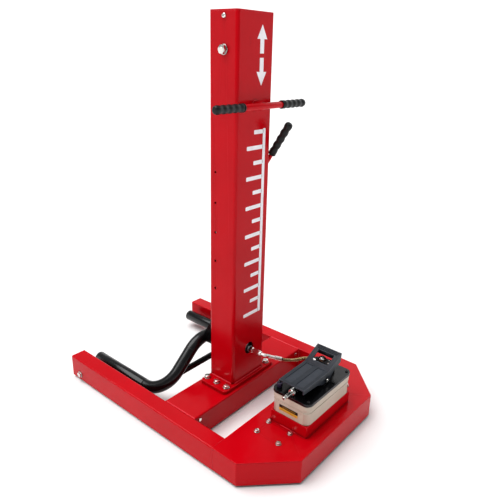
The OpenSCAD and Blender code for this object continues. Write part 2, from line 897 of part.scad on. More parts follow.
// Air connection: collar and plug-in nipple
module air_inlet() {
    color(zinc) translate([0, pump_y, inlet_z]) rotate([0, -90, 0]) {
        translate([0, 0, 84]) cylinder(h = 32, r = 6);
        translate([0, 0, 96]) hexagon(17, 12);
        translate([0, 0, 112]) cylinder(h = 8, r = 11);
        translate([0, 0, 120]) cylinder(h = 26, r = 6);
        translate([0, 0, 146]) cylinder(h = 4, r = 4.5);
        translate([0, 0, 150]) cylinder(h = 10, r = 6);
    }
}

// Knurled oil filler plug
module filler_plug() {
    color([0.2, 0.1, 0.28]) translate([-106, pump_y + 55, lid_top]) {
        cylinder(h = 3, r = 7);
        translate([0, 0, 3]) difference() {
            cylinder(h = 12, r = 9);
            for (a = [0:30:330]) rotate([0, 0, a]) translate([9.6, 0, -eps]) cylinder(h = 14, r = 1.4, $fn = 16);
        }
    }
}

// Hydraulic outlet: hexagon, swivel and crimped sleeve that holds the hose
module outlet_fitting() {
    color(zinc) translate([outlet_x, pump_y + 27, outlet_z]) along_y() {
        hexagon(14, 9);
        translate([0, 0, 9]) cylinder(h = 24, r = 7);
    }
}

// Fitting on the ram's port: hexagon, sleeve, bent pipe and the ferrule that holds the hose
module port_fitting() {
    color(zinc) {
        translate([port_x, column_front - 1, port_z]) rotate([90, 0, 0]) {
            hexagon(19, 12);
            translate([0, 0, 12]) cylinder(h = column_front - 1 - 12 - pipe_start_y, r = 9);
        }
        translate([port_x, pipe_start_y, port_z]) rotate([0, pipe_dip, 0]) {
            translate([pipe_bend_r, 0, 0]) bend(pipe_bend_r, 5.5, 180, 180 + pipe_turn);
            translate([pipe_bend_r * (1 - cos(pipe_turn)), -pipe_bend_r * sin(pipe_turn), 0])
                rotate([0, 0, pipe_turn]) rotate([90, 0, 0]) {
                    cylinder(h = 5, r = 7);
                    cylinder(h = pipe_straight, r = 5.5);
                    translate([0, 0, pipe_straight]) cylinder(h = ferrule_l, r = 7.5);
                }
        }
    }
}

// ---- Hose ----

function unit(v) = v / norm(v);
function ring(p, way, r, n) =
    let (side = unit(cross(way, [0, 0, 1])), up = cross(side, way))
    [for (i = [0:n - 1]) p + r * (side * cos(360 * i / n) + up * sin(360 * i / n))];

// Direction of the path at a point: given at both ends, from the neighbours between them
function path_way(path, i, first_way, last_way) =
    i == 0 ? first_way : i == len(path) - 1 ? last_way : unit(path[i + 1] - path[i - 1]);

// Tube swept along a path of points, as one closed polyhedron
module swept_tube(path, r, n, first_way, last_way) {
    last = len(path) - 1;
    rings = [for (i = [0:last]) ring(path[i], path_way(path, i, first_way, last_way), r, n)];
    sides = [for (i = [0:last - 1], j = [0:n - 1])
        [i * n + j, i * n + (j + 1) % n, (i + 1) * n + (j + 1) % n, (i + 1) * n + j]];
    polyhedron(
        points = [for (g = rings) each g],
        faces = concat(sides, [[for (j = [n - 1:-1:0]) j]], [[for (j = [0:n - 1]) last * n + j]]));
}

module hose() {
    color([0.2, 0.2, 0.2]) swept_tube(hose_route, hose_d / 2, hose_sides, hose_start_way, [0, -1, 0]);
}

left_leg();
right_leg();
crossbar();
deck_plate();
deck_skirt();
frame_screws();
column_base_plate();
base_plate_bolts();
column();
column_cap();
cap_screws();
stop_bolt();
stop_bolt_nut();
stop_sleeve();
push_handle();
push_handle_grips();
ram_foot();
ram_barrel();
ram_gland();
rod_seal();
ram_rod();
ram_guide_ring();
rod_bolt();
carriage_web();
carriage_sides();
carriage_head();
slide_pads();
lock_rack();
fork_ears();
fork_tube();
fork_tip_caps();
fork_brace();
lock_bush();
lock_shaft();
lock_pawl();
lock_lever();
lock_lever_grip();
roller_axles();
left_roller();
right_roller();
caster_plates();
caster_bolts();
left_caster_yoke();
right_caster_yoke();
left_caster_wheel();
right_caster_wheel();
pump_riser();
pump_reservoir();
pump_lid();
pump_screws();
pump_head();
valve_block();
treadle();
treadle_pin();
valve_stem();
air_inlet();
filler_plug();
outlet_fitting();
port_fitting();
hose();
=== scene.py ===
"""Looks of the mobile wheel lift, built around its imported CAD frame.

Metres, +Z up, origin on the floor at the middle of the frame. The pump is towards -Y and the fork
tips towards +Y. Pieces that refine a CAD node replace it and ride on the same body.
"""

import json
import math

import bmesh
import bpy
from mathutils import Matrix, Vector


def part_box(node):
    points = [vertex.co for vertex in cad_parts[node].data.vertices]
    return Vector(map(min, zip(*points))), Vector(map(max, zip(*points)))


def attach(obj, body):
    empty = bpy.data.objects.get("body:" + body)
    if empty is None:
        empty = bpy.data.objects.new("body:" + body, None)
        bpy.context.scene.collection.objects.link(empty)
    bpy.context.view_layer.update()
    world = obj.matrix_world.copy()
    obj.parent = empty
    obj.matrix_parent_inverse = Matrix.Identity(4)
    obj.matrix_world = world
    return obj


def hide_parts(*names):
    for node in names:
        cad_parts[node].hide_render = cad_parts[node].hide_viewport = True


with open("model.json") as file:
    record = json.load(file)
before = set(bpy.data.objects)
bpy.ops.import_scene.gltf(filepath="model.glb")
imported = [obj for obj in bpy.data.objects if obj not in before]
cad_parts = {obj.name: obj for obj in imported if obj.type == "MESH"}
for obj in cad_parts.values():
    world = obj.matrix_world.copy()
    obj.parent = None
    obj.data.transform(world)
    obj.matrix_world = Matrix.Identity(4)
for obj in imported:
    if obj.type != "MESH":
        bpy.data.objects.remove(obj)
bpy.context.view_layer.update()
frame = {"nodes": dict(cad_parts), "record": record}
NODES = frame["nodes"]


# ---- Camera ----

CAMERA_PLACE = Vector((-1.2484, -1.1470, 1.2043))
CAMERA_HEADING = math.radians(39.33)  # from +X towards +Y
CAMERA_TILT = math.radians(19.82)  # below the horizon
CAMERA_ROLL = math.radians(1.65)
CAMERA_LENS = 37.61
CAMERA_SHIFT = (-0.0120, -0.0162)


def make_camera():
    """The photographer's view: a little above the top of the column, from the front left."""
    ahead = Vector((math.cos(CAMERA_HEADING) * math.cos(CAMERA_TILT),
                    math.sin(CAMERA_HEADING) * math.cos(CAMERA_TILT),
                    -math.sin(CAMERA_TILT)))
    right = ahead.cross(Vector((0, 0, 1))).normalized()
    up = right.cross(ahead)
    turned_right = right * math.cos(CAMERA_ROLL) + up * math.sin(CAMERA_ROLL)
    turned_up = up * math.cos(CAMERA_ROLL) - right * math.sin(CAMERA_ROLL)
    data = bpy.data.cameras.new("camera")
    data.lens = CAMERA_LENS
    data.sensor_width = 36
    data.shift_x, data.shift_y = CAMERA_SHIFT
    data.clip_start, data.clip_end = 0.05, 50
    camera = bpy.data.objects.new("camera", data)
    axes = Matrix((turned_right, turned_up, -ahead)).transposed()
    camera.matrix_world = Matrix.Translation(CAMERA_PLACE) @ axes.to_4x4()
    bpy.context.scene.collection.objects.link(camera)
    bpy.context.scene.camera = camera


make_camera()


# ---- Mesh helpers ----


def add_object(name, mesh, body, material):
    """Links a mesh as a piece that rides on a body and takes a material."""
    piece = bpy.data.objects.new(name, mesh)
    bpy.context.scene.collection.objects.link(piece)
    mesh.materials.clear()
    mesh.materials.append(material)
    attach(piece, body)
    return piece


def finish_mesh(name, bm, sharp=35):
    """Turns a bmesh into a mesh that is smooth apart from the edges sharper than the given angle."""
    bmesh.ops.remove_doubles(bm, verts=bm.verts, dist=1e-6)
    bmesh.ops.recalc_face_normals(bm, faces=bm.faces)
    for face in bm.faces:
        face.smooth = True
    for edge in bm.edges:
        edge.smooth = len(edge.link_faces) == 2 and edge.calc_face_angle(0) < math.radians(sharp)
    mesh = bpy.data.meshes.new(name)
    bm.to_mesh(mesh)
    bm.free()
    return mesh


def frame_along(direction, start=(0, 0, 0)):
    """Matrix that takes +Z to the direction and the origin to the start."""
    turn = Vector(direction).normalized().to_track_quat("Z", "Y").to_matrix().to_4x4()
    return Matrix.Translation(Vector(start)) @ turn


def lathe(bm, profile, place, steps=48):
    """Adds a solid turned about Z from (radius, height) points; ends on the axis are closed."""
    rings = []
    for radius, height in profile:
        if radius < 1e-6:
            rings.append([bm.verts.new(place @ Vector((0, 0, height)))])
            continue
        angles = [2 * math.pi * i / steps for i in range(steps)]
        rings.append([bm.verts.new(place @ Vector((radius * math.cos(a), radius * math.sin(a), height)))
                      for a in angles])
    for low, high in zip(rings, rings[1:]):
        join_rings(bm, low, high)


def join_rings(bm, low, high):
    """Faces between two closed rings of the same length, or between a ring and a point."""
    count = max(len(low), len(high))
    for i in range(count):
        j = (i + 1) % count
        if len(low) == 1 and len(high) == 1:
            return
        if len(low) == 1:
            bm.faces.new((low[0], high[i], high[j]))
        elif len(high) == 1:
            bm.faces.new((low[i], low[j], high[0]))
        else:
            bm.faces.new((low[i], low[j], high[j], high[i]))


def hex_radius(across, angle):
    """Distance from a hexagon's middle to its edge in the given direction."""
    turned = (angle + math.pi / 6) % (math.pi / 3) - math.pi / 6
    return across / 2 / math.cos(turned)


def hex_head(bm, across, height, place, chamfers=("top",), bore=0.0):
    """Hexagonal head or nut, its corners turned down at the chamfered ends."""
    steps = 48
    angles = [2 * math.pi * i / steps for i in range(steps)]
    flat = across / 2 * 0.97
    slope = math.tan(math.radians(30))

    def ring(radii, heights):
        return [bm.verts.new(place @ Vector((r * math.cos(a), r * math.sin(a), z)))
                for r, a, z in zip(radii, angles, heights)]

    edge = [hex_radius(across, a) for a in angles]
    drop = [max(0.0, r - flat) * slope for r in edge]
    low = drop if "bottom" in chamfers else [0.0] * steps
    high = [height - d for d in drop] if "top" in chamfers else [height] * steps
    rings = []
    rings.append(ring([max(bore, 1e-5)] * steps, [0.0] * steps))
    rings.append(ring([flat] * steps, [0.0] * steps))
    rings.append(ring(edge, low))
    rings.append(ring(edge, high))
    rings.append(ring([flat] * steps, [height] * steps))
    rings.append(ring([max(bore, 1e-5)] * steps, [height] * steps))
    if bore:
        rings.append(rings[0])
    for low_ring, high_ring in zip(rings, rings[1:]):
        join_rings(bm, low_ring, high_ring)


def washer_ring(bm, outer, inner, height, place):
    """Flat washer with slightly rounded edges."""
    r = min(height * 0.3, 0.0004)
    lathe(bm, [(inner, 0), (outer - r, 0), (outer, r), (outer, height - r), (outer - r, height),
               (inner, height), (inner, 0)], place)


def box_at(bm, low, high):
    """Adds a box between two corners and returns its vertices."""
    x, y, z = zip(low, high)
    corners = [bm.verts.new((x[i], y[j], z[k])) for i in (0, 1) for j in (0, 1) for k in (0, 1)]
    for a, b, c, d in ((0, 1, 3, 2), (4, 6, 7, 5), (0, 4, 5, 1), (2, 3, 7, 6), (0, 2, 6, 4), (1, 5, 7, 3)):
        bm.faces.new((corners[a], corners[b], corners[c], corners[d]))
    return corners


def smooth_path(points, parts=6):
    """Catmull-Rom points through the given ones."""
    pts = [Vector(p) for p in points]
    count = len(pts)
    result = []
    for i in range(count - 1):
        a, b, c, d = (pts[min(max(i + k, 0), count - 1)] for k in (-1, 0, 1, 2))
        for j in range(parts):
            t = j / parts
            result.append(0.5 * (2 * b + (c - a) * t + (2 * a - 5 * b + 4 * c - d) * t * t
                                 + (3 * b - a - 3 * c + d) * t ** 3))
    result.append(pts[-1])
    return result


def path_frames(path):
    """A point, a side and an up direction for each point of a path, turning as little as possible."""
    frames = []
    side = None
    for i, point in enumerate(path):
        way = (path[min(i + 1, len(path) - 1)] - path[max(i - 1, 0)]).normalized()
        if side is None:
            side = way.cross(Vector((0, 0, 1)))
            if side.length < 0.1:
                side = way.cross(Vector((0, 1, 0)))
        side = (side - way * side.dot(way)).normalized()
        frames.append((point, side, way.cross(side)))
    return frames


def sweep(bm, path, radius, sides=12):
    """Adds a tube along a path; radius is a number or a function of the point's index."""
    rings = []
    for i, (point, side, up) in enumerate(path_frames(path)):
        r = radius(i) if callable(radius) else radius
        rings.append([bm.verts.new(point + r * (side * math.cos(a) + up * math.sin(a)))
                      for a in (2 * math.pi * k / sides for k in range(sides))])
    for low, high in zip(rings, rings[1:]):
        join_rings(bm, low, high)
    bm.faces.new(rings[0][::-1])
    bm.faces.new(rings[-1])


# ---- Material helpers ----


class Paint:
    """A material with a Principled shader and short calls for its procedural nodes."""

    def __init__(self, name, **values):
        self.material = bpy.data.materials.new(name)
        self.material.use_nodes = True
        self.tree = self.material.node_tree
        self.shader = self.tree.nodes["Principled BSDF"]
        self.coords = self.tree.nodes.new("ShaderNodeTexCoord")
        self.set(**values)

    def set(self, **values):
        for name, value in values.items():
            self.shader.inputs[name.replace("_", " ")].default_value = value

    def node(self, kind, **settings):
        made = self.tree.nodes.new(kind)
        for name, value in settings.items():
            if name in made.inputs:
                made.inputs[name].default_value = value
            else:
                setattr(made, name, value)
        return made

    def link(self, a, b):
        self.tree.links.new(a, b)

    def noise(self, scale, detail=2.0, stretch=(1, 1, 1)):
        place = self.node("ShaderNodeMapping")
        place.inputs["Scale"].default_value = stretch
        self.link(self.coords.outputs["Object"], place.inputs["Vector"])
        made = self.node("ShaderNodeTexNoise", Scale=scale, Detail=detail)
        self.link(place.outputs[0], made.inputs["Vector"])
        return made.outputs["Fac"]

    def ramp(self, value, stops):
        made = self.node("ShaderNodeValToRGB")
        elements = made.color_ramp.elements
        while len(elements) < len(stops):
            elements.new(0.5)
        for element, (position, color) in zip(elements, stops):
            element.position = position
            element.color = color if len(color) == 4 else (*color, 1)
        self.link(value, made.inputs["Fac"])
        return made.outputs["Color"]

    def grey(self, value, low, high, start=0.3, end=0.7):
        return self.ramp(value, [(start, (low,) * 3), (end, (high,) * 3)])

    def mix(self, factor, a, b):
        made = self.node("ShaderNodeMix", data_type="RGBA")
        self.plug(factor, made.inputs[0])
        self.plug(a, made.inputs[6])
        self.plug(b, made.inputs[7])
        return made.outputs[2]

    def plug(self, value, socket):
        if isinstance(value, bpy.types.NodeSocket):
            self.link(value, socket)
        elif isinstance(value, tuple) and len(value) == 3:
            socket.default_value = (*value, 1)
        else:
            socket.default_value = value

    def color(self, value):
        self.link(value, self.shader.inputs["Base Color"])

    def rough(self, value):
        self.link(value, self.shader.inputs["Roughness"])

    def bump(self, height, strength, distance):
        made = self.node("ShaderNodeBump", Strength=strength, Distance=distance)
        self.link(height, made.inputs["Height"])
        if self.shader.inputs["Normal"].is_linked:
            self.link(self.shader.inputs["Normal"].links[0].from_socket, made.inputs["Normal"])
        self.link(made.outputs[0], self.shader.inputs["Normal"])

    def edges(self, distance, samples=6):
        """About 1 on outer edges and 0 on open faces; the materials paint highlights on edges with it."""
        made = self.node("ShaderNodeAmbientOcclusion", Distance=distance)
        made.inside = True
        made.samples = samples
        return self.ramp(made.outputs["AO"], [(0.45, (1, 1, 1)), (0.8, (0, 0, 0))])

    def corners(self, distance, samples=6):
        """About 1 in inner corners and 0 on open faces; the materials paint shade into corners with it."""
        made = self.node("ShaderNodeAmbientOcclusion", Distance=distance)
        made.samples = samples
        return self.ramp(made.outputs["AO"], [(0.35, (1, 1, 1)), (0.9, (0, 0, 0))])


# ---- Materials ----


def red_paint():
    """Glossy powder coat with a faint orange peel, small changes of shade, painted shade in its inner corners
    and painted highlights on its edges.
    """
    paint = Paint("red_paint", Specular_IOR_Level=0.2)
    shade = paint.ramp(paint.noise(5, 3), [(0.3, (0.46, 0.0005, 0.0070)), (0.7, (0.53, 0.0010, 0.0090))])
    # painted shade: a darker red in inner corners
    shade = paint.mix(paint.corners(0.012), shade, (0.20, 0.0003, 0.002))
    # painted highlight: a lighter red on outer edges
    shade = paint.mix(paint.edges(0.0022), shade, (0.74, 0.05, 0.07))
    scuffs = paint.ramp(paint.noise(30, 6, (1, 6, 1)), [(0.66, (0, 0, 0)), (0.74, (0.35,) * 3)])
    paint.color(paint.mix(scuffs, shade, (0.38, 0.002, 0.008)))
    paint.rough(paint.grey(paint.noise(28, 4), 0.14, 0.24))
    paint.bump(paint.noise(420, 2), 0.07, 0.0003)
    return paint.material


def black_paint():
    """Glossy black powder coat with painted highlights on its edges."""
    paint = Paint("black_paint", Specular_IOR_Level=0.45)
    shade = paint.ramp(paint.noise(9, 3), [(0.3, (0.003, 0.003, 0.0035)), (0.7, (0.006, 0.006, 0.007))])
    # painted highlight: a lighter black on outer edges
    paint.color(paint.mix(paint.edges(0.003), shade, (0.03, 0.03, 0.033)))
    paint.rough(paint.grey(paint.noise(35, 4), 0.16, 0.28))
    paint.bump(paint.noise(380, 2), 0.10, 0.0003)
    return paint.material


def metal(name, stops, rough_low, rough_high, scale=90, stretch=(1, 1, 1), painted_corner_shade=(0.10, 0.10, 0.10)):
    """Bare or plated metal with clouds or drawn lines, darker in its corners with painted shade."""
    paint = Paint(name, Metallic=1.0)
    cloud = paint.noise(scale, 4, stretch)
    # painted shade: the colour turns darker in inner corners
    paint.color(paint.mix(paint.corners(0.003), paint.ramp(cloud, stops), painted_corner_shade))
    paint.rough(paint.grey(paint.noise(scale * 1.8, 3, stretch), rough_low, rough_high))
    paint.bump(paint.noise(scale * 9, 2, stretch), 0.08, 0.0002)
    return paint.material


def rubber(name, low, high):
    """Black rubber with a fine moulded grain and painted highlights on its edges."""
    paint = Paint(name, Specular_IOR_Level=0.4)
    shade = paint.ramp(paint.noise(60, 4), [(0.3, low), (0.7, high)])
    # painted highlight: a lighter grey on outer edges
    paint.color(paint.mix(paint.edges(0.002), shade, (0.035, 0.037, 0.04)))
    paint.rough(paint.grey(paint.noise(120, 3), 0.32, 0.48))
    paint.bump(paint.noise(1500, 2), 0.12, 0.0003)
    return paint.material


def cream_paint():
    """Off-white paint of the reservoir with a slight hammer finish, painted highlights on its edges and
    painted shade in its corners.
    """
    paint = Paint("cream_paint", Specular_IOR_Level=0.4)
    shade = paint.ramp(paint.noise(14, 3), [(0.3, (0.50, 0.43, 0.35)), (0.7, (0.60, 0.53, 0.45))])
    # painted highlight: a paler cream on outer edges
    shade = paint.mix(paint.edges(0.003), shade, (0.78, 0.70, 0.62))
    # painted shade: a dark brown in inner corners
    paint.color(paint.mix(paint.corners(0.006), shade, (0.26, 0.19, 0.13)))
    paint.rough(paint.grey(paint.noise(50, 3), 0.3, 0.42))
    paint.bump(paint.noise(260, 2), 0.15, 0.0005)
    return paint.material


def treadle_plastic():
    """Dark blue-grey moulded plastic with painted highlights on its edges and painted shade in its corners.
    """
    paint = Paint("treadle_plastic", Specular_IOR_Level=0.42)
    shade = paint.ramp(paint.noise(30, 4), [(0.3, (0.012, 0.016, 0.024)), (0.7, (0.020, 0.026, 0.037))])
    # painted highlight: a lighter blue-grey on outer edges
    shade = paint.mix(paint.edges(0.003), shade, (0.06, 0.07, 0.09))
    # painted shade: near black in inner corners
    paint.color(paint.mix(paint.corners(0.006), shade, (0.004, 0.005, 0.008)))
    paint.rough(paint.grey(paint.noise(80, 3), 0.28, 0.42))
    paint.bump(paint.noise(1100, 2), 0.2, 0.0003)
    return paint.material


def plastic(name, low, high, rough_low, rough_high):
    """Smooth moulded or lacquered finish with a small change of shade and painted shade in its corners."""
    paint = Paint(name, Specular_IOR_Level=0.4)
    # painted shade: about a third of the low colour in inner corners
    paint.color(paint.mix(paint.corners(0.004), paint.ramp(paint.noise(40, 3), [(0.3, low), (0.7, high)]),
                          tuple(0.35 * part for part in low)))
    paint.rough(paint.grey(paint.noise(90, 3), rough_low, rough_high))
    paint.bump(paint.noise(1200, 2), 0.1, 0.0002)
    return paint.material


MATERIALS = {
    "red_paint": red_paint(),
    "black_paint": black_paint(),
    "zinc": metal("zinc_plate",
                  [(0.3, (0.62, 0.60, 0.57)), (0.6, (0.80, 0.79, 0.77)), (0.75, (0.84, 0.78, 0.66))],
                  0.18, 0.32),
    "polished_zinc": metal("polished_zinc", [(0.3, (0.78, 0.76, 0.74)), (0.7, (0.92, 0.90, 0.88))],
                           0.08, 0.18),
    "steel": metal("machined_steel", [(0.3, (0.36, 0.36, 0.37)), (0.7, (0.50, 0.50, 0.51))], 0.28, 0.42,
                   200, (1, 1, 0.04)),
    "chrome_rod": metal("chrome", [(0.3, (0.76, 0.77, 0.78)), (0.7, (0.84, 0.84, 0.85))], 0.05, 0.10,
                        60, (1, 1, 0.1)),
    "bronze": metal("bronze", [(0.3, (0.46, 0.28, 0.11)), (0.7, (0.62, 0.42, 0.20))], 0.26, 0.40, 120),
    "brass": metal("brass", [(0.3, (0.70, 0.50, 0.20)), (0.7, (0.88, 0.70, 0.36))], 0.12, 0.24, 150),
    "copper": metal("copper", [(0.3, (0.72, 0.28, 0.16)), (0.7, (0.86, 0.40, 0.26))], 0.14, 0.26, 150),
    "pad_plastic": plastic("pad_plastic", (0.62, 0.60, 0.52), (0.70, 0.68, 0.60), 0.4, 0.5),
    "seal_rubber": rubber("seal_rubber", (0.012, 0.012, 0.012), (0.02, 0.02, 0.02)),
    "grip_rubber": rubber("grip_rubber", (0.004, 0.004, 0.0045), (0.009, 0.009, 0.010)),
    "hose_rubber": rubber("hose_rubber", (0.008, 0.006, 0.005), (0.016, 0.012, 0.009)),
    "cream_paint": cream_paint(),
    "treadle_plastic": treadle_plastic(),
    "wheel_plastic": plastic("wheel_plastic", (0.018, 0.018, 0.02), (0.03, 0.03, 0.032), 0.4, 0.55),
    "dark_screw": plastic("dark_screw", (0.02, 0.02, 0.022), (0.035, 0.035, 0.036), 0.25, 0.4),
    "plug_purple": plastic("plug_purple", (0.020, 0.010, 0.034), (0.034, 0.016, 0.055), 0.25, 0.4),
    "label_black": plastic("label_black", (0.006, 0.006, 0.006), (0.012, 0.011, 0.010), 0.25, 0.35),
    "label_yellow": plastic("label_yellow", (0.70, 0.36, 0.04), (0.80, 0.46, 0.07), 0.3, 0.4),
    "white_vinyl": plastic("white_vinyl", (0.84, 0.82, 0.86), (0.92, 0.90, 0.94), 0.3, 0.4),
}


# Width of the rounding on a CAD node's edges; the folded channels have their own
EDGE_WIDTH = 0.0006
EDGE_WIDTHS = {"left_leg": 0.0, "right_leg": 0.0, "crossbar": 0.0, "deck_plate": 0.0012, "deck_skirt": 0.0012}


def paint_nodes():
    """Gives each CAD node the material of its slot, and softens the edges of its shape."""
    for part in frame["record"]["subparts"]:
        node = NODES[part["node"]]
        node.data.materials.clear()
        node.data.materials.append(MATERIALS[part["material_slot"]])
        width = EDGE_WIDTHS.get(part["node"], EDGE_WIDTH)
        if width:
            soften(node, width)


def soften(node, width):
    """Rounds a node's sharp edges with modifiers; its mesh stays as it is."""
    join = node.modifiers.new("join", "WELD")
    join.merge_threshold = 0.00001
    bevel = node.modifiers.new("edge", "BEVEL")
    bevel.width = width
    bevel.segments = 2
    bevel.limit_method = "ANGLE"
    bevel.angle_limit = math.radians(40)
    bevel.use_clamp_overlap = True
    bevel.harden_normals = True


paint_nodes()


# ---- Sizes shared with the CAD, in metres ----

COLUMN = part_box("column")
COLUMN_FRONT = COLUMN[0][1]
COLUMN_BACK = COLUMN[1][1]
COLUMN_HALF = COLUMN[1][0]
COLUMN_MIDDLE_Y = -0.052
BASE_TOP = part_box("deck_plate")[1][2]
PLATE_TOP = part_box("column_base_plate")[1][2]
SHEET = 0.004
HALF_WIDTH = 0.346
LEG_WIDTH = 0.058
ROLLER_Y = 0.443
CASTER = (0.170, -0.356)
CASTER_TRAIL = 0.022
PUMP_Y = -0.380
LID_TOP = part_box("pump_lid")[1][2]
PUMP_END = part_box("pump_reservoir")[0][0] + 0.002
PORT = (0.008, 0.208)
LOCK = Vector((0.100, -0.048, 0.820))
LOCK_ANGLE = math.radians(33)
HANDLE = (-0.136, 1.057)


# ---- Hose ----

HOSE_ROUTE = [
    (0.0503, -0.2152, 0.1926), (0.0550, -0.2209, 0.1911), (0.0596, -0.2267, 0.1902),
    (0.0641, -0.2327, 0.1898), (0.0682, -0.2390, 0.1902), (0.0720, -0.2454, 0.1913),
    (0.0753, -0.2519, 0.1931), (0.0779, -0.2584, 0.1957), (0.0801, -0.2649, 0.1988),
    (0.0817, -0.2714, 0.2022), (0.0828, -0.2779, 0.2057), (0.0835, -0.2845, 0.2093),
    (0.0839, -0.2911, 0.2126), (0.0840, -0.2980, 0.2156), (0.0840, -0.3052, 0.2180),
    (0.0840, -0.3125, 0.2195), (0.0840, -0.3200, 0.2200)]
HOSE_DIAMETER = 0.010


def make_hose():
    """Rubber hose with a brass spring guard wound round it."""
    path = smooth_path(HOSE_ROUTE, parts=3)
    bm = bmesh.new()
    sweep(bm, path, HOSE_DIAMETER / 2, sides=24)
    hose = add_object("hose_rubber", finish_mesh("hose_rubber", bm), "base",
                      MATERIALS["hose_rubber"])
    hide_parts("hose")

    fine = smooth_path(HOSE_ROUTE, parts=24)
    frames = path_frames(fine)
    bm = bmesh.new()
    turns = 27
    last = len(frames) - 1
    coil = []
    steps = turns * 16
    for i in range(steps + 1):
        at = 0.02 * last + 0.93 * last * i / steps
        point, side, up = frames[int(at)]
        following = frames[min(int(at) + 1, last)][0]
        point = point.lerp(following, at - int(at))
        angle = 2 * math.pi * turns * i / steps
        coil.append(point + (HOSE_DIAMETER / 2 + 0.0004) * (side * math.cos(angle) + up * math.sin(angle)))
    sweep(bm, coil, 0.0007, sides=6)
    guard = add_object("hose_spring_guard", finish_mesh("hose_spring_guard", bm, 60), "base",
                       MATERIALS["brass"])


make_hose()


# ---- Bolts, nuts and screws ----


def screw_end(bm, place, radius, start, end, pitch=0.0015):
    """Threaded end of a bolt between two heights, with a chamfered tip."""
    depth = pitch * 0.55
    way = 1 if end > start else -1
    profile = [(0, start), (radius, start)]
    count = int(abs(end - start) / pitch)
    for i in range(count):
        z = start + way * i * pitch
        profile += [(radius, z + way * pitch * 0.25), (radius - depth, z + way * pitch * 0.6),
                    (radius, z + way * pitch * 0.95)]
    profile += [(radius - pitch, end), (0, end)]
    lathe(bm, profile, place, 20)


def hex_bolt(bm, place, across, height, washer, thread_from=0.0, thread_to=0.0):
    """Hexagon bolt on its washer; the head stands up along the place's +Z."""
    outer, inner, thick = washer
    washer_ring(bm, outer / 2, inner / 2, thick, place)
    seat = place @ Matrix.Translation((0, 0, thick))
    lathe(bm, [(0, 0), (across * 0.48, 0), (across * 0.48, 0.0004), (0, 0.0004)], seat, 32)
    hex_head(bm, across, height - 0.0004, seat @ Matrix.Translation((0, 0, 0.0004)))
    ring = seat @ Matrix.Translation((0, 0, height))
    lathe(bm, [(0, 0.0001), (across * 0.27, 0.0001), (across * 0.30, -0.0003), (across * 0.34, 0)], ring, 32)
    if thread_to != thread_from:
        screw_end(bm, place, inner / 2 - 0.0002, thread_from, thread_to)


def nut(bm, place, across, height, inner):
    hex_head(bm, across, height, place, ("top", "bottom"), inner / 2)


def make_base_plate_bolts():
    bm = bmesh.new()
    for x in (-0.109, 0.109):
        for y in (-0.046, 0.0, 0.046):
            turn = Matrix.Rotation(x * 40 + y * 90, 4, "Z")  # no two bolts stop at the same angle
            place = Matrix.Translation((x, COLUMN_MIDDLE_Y + y, PLATE_TOP)) @ turn
            hex_bolt(bm, place, 0.018, 0.0075, (0.024, 0.012, 0.0025), 0.0, -0.030)
            under = Matrix.Translation((x, COLUMN_MIDDLE_Y + y, BASE_TOP - SHEET - 0.010))
            nut(bm, under, 0.018, 0.010, 0.012)
    piece = add_object("base_plate_hex_bolts", finish_mesh("base_plate_hex_bolts", bm), "base",
                       MATERIALS["zinc"])
    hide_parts("base_plate_bolts")


def make_caster_bolts():
    bm = bmesh.new()
    for side in (-1, 1):
        for dx in (-0.030, 0.030):
            for dy in (-0.0425, 0.0425):
                place = Matrix.Translation((side * CASTER[0] + dx, CASTER[1] + dy, BASE_TOP))
                place = place @ Matrix.Rotation(dx * 20 + dy * 33 + side, 4, "Z")
                hex_bolt(bm, place, 0.013, 0.0055, (0.018, 0.008, 0.0016), -SHEET, -0.0155)
                nut(bm, place @ Matrix.Translation((0, 0, -0.015)), 0.013, 0.007, 0.008)
    piece = add_object("caster_hex_bolts", finish_mesh("caster_hex_bolts", bm), "base",
                       MATERIALS["zinc"])
    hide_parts("caster_bolts")


def make_roller_axles():
    bm = bmesh.new()
    for side in (-1, 1):
        place = frame_along((-1, 0, 0), (-HALF_WIDTH, ROLLER_Y, 0.030))
        if side > 0:
            place = frame_along((1, 0, 0), (HALF_WIDTH, ROLLER_Y, 0.030))
        hex_bolt(bm, place, 0.018, 0.006, (0.024, 0.012, 0.0025))
        washer_end = -LEG_WIDTH - 0.0025
        nut_end = -LEG_WIDTH - 0.0125
        lathe(bm, [(0, 0.001), (0.006, 0.001), (0.006, nut_end), (0, nut_end)], place, 32)
        screw_end(bm, place, 0.0059, nut_end, -LEG_WIDTH - 0.014)
        washer_ring(bm, 0.012, 0.006, 0.0025, place @ Matrix.Translation((0, 0, washer_end)))
        nut(bm, place @ Matrix.Translation((0, 0, nut_end)), 0.018, 0.010, 0.012)
    piece = add_object("roller_hex_axles", finish_mesh("roller_hex_axles", bm), "base",
                       MATERIALS["zinc"])
    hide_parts("roller_axles")


